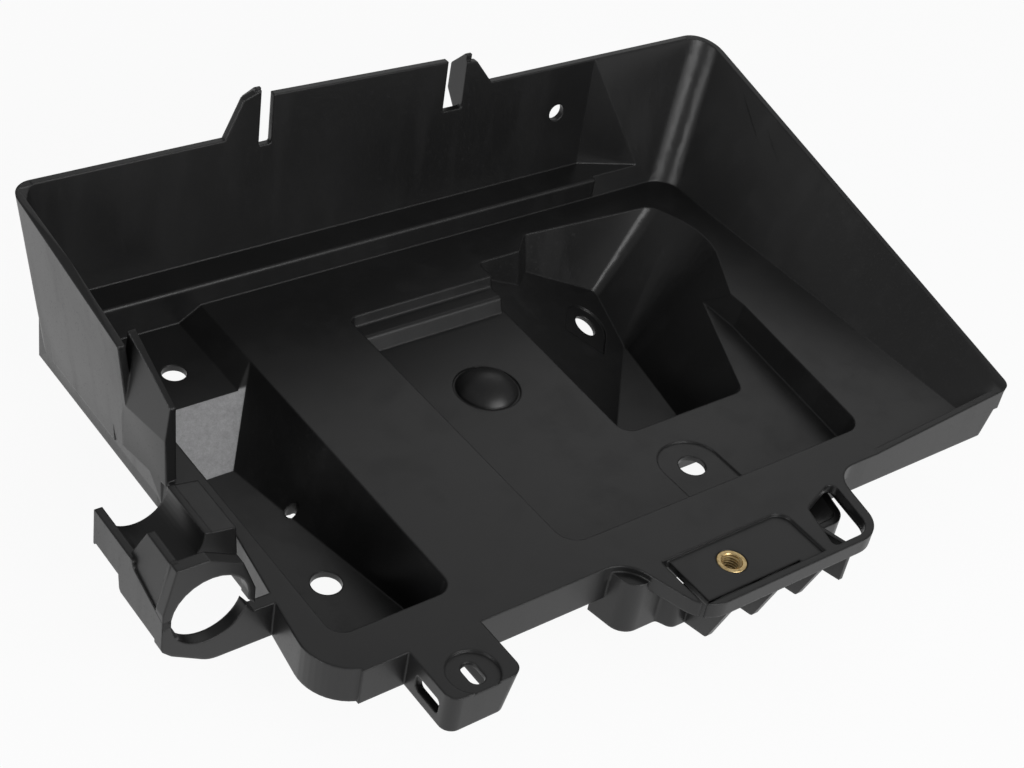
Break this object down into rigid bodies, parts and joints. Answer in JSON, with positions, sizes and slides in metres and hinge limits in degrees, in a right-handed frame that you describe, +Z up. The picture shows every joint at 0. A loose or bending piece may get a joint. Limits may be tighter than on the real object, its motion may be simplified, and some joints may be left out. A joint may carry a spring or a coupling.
{
  "type": "car battery tray",
  "caption": "Moulded tray that carries a car battery, with high back and side walls, bolt wells, a threaded hold-down shelf and a hose clip.",
  "frame": {"origin": "middle of the outer box in plan, at the lowest point of the well", "axes": "+X along the battery to the ramp wall, +Y to the high back wall, +Z up"},
  "size_m": [0.3926, 0.2712, 0.136],
  "materials": {
    "black_plastic": "satin, fine moulded grain",
    "brass": "turned, slightly dulled"
  },
  "bodies": {
    "root": {"tray_body": "black_plastic", "threaded_insert": "brass"}
  },
  "joints": []
}
